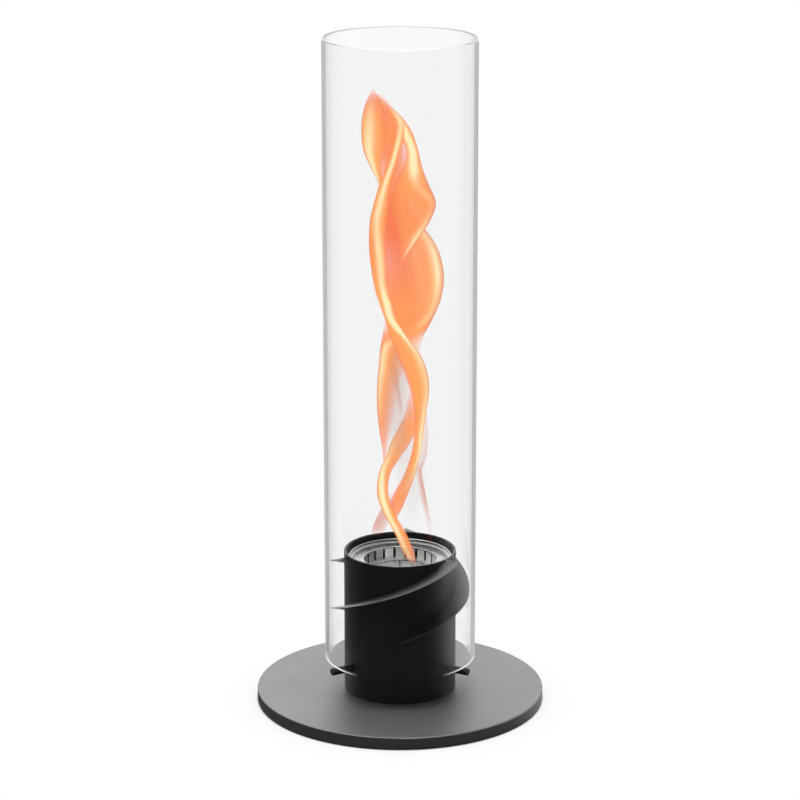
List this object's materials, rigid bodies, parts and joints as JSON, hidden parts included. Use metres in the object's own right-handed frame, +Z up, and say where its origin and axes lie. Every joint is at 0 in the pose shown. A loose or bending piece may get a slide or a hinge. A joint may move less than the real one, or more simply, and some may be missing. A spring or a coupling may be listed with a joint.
{
  "type": "tabletop fireplace",
  "caption": "Free-standing tabletop fireplace: round black base, tube housing with helical air vanes, lift-out ethanol burner with a level gauge, and a tall lift-off glass chimney.",
  "frame": {"origin": "centre of the base, on the surface that its feet stand on", "axes": "+Z up along the glass, -Y towards the front, +X to the right"},
  "size_m": [0.229, 0.229, 0.5333],
  "materials": {
    "black_coat": "satin black powder coat",
    "foot_rubber": "matte",
    "screw_steel": "zinc plated",
    "clear_glass": "clear, fire-polished ends",
    "burner_steel": "satin stainless",
    "mesh_steel": "woven stainless wire",
    "wool": "packed ceramic fibre",
    "cork": "sealed cork",
    "pin_steel": "drawn wire"
  },
  "bodies": {
    "stand": {"base_plate": "black_coat", "rubber_foot_1": "foot_rubber", "rubber_foot_2": "foot_rubber", "rubber_foot_3": "foot_rubber", "rubber_foot_4": "foot_rubber", "base_screws": "screw_steel", "housing_sleeve": "black_coat", "housing_floor": "black_coat", "air_vane_1": "black_coat", "air_vane_2": "black_coat", "air_vane_3": "black_coat", "glass_pin_1": "black_coat", "glass_pin_2": "black_coat", "glass_pin_3": "black_coat"},
    "glass": {"glass_cylinder": "clear_glass"},
    "burner": {"burner_can": "burner_steel", "burner_lid": "burner_steel", "mesh_ring": "burner_steel", "burner_mesh": "mesh_steel", "ceramic_wool": "wool", "port_grommet": "burner_steel", "gauge_tube": "burner_steel"},
    "level_gauge": {"level_float": "cork", "level_pin": "pin_steel"}
  },
  "joints": [
    {"name": "glass_lift", "type": "slide", "parent": "stand", "child": "glass", "axis": [0, 0, 1], "range_m": [0, 0.1]},
    {"name": "burner_lift", "type": "slide", "parent": "stand", "child": "burner", "axis": [0, 0, 1], "range_m": [0, 0.1]},
    {"name": "level_rise", "type": "slide", "parent": "burner", "child": "level_gauge", "axis": [0, 0, 1], "range_m": [0, 0.012]}
  ]
}
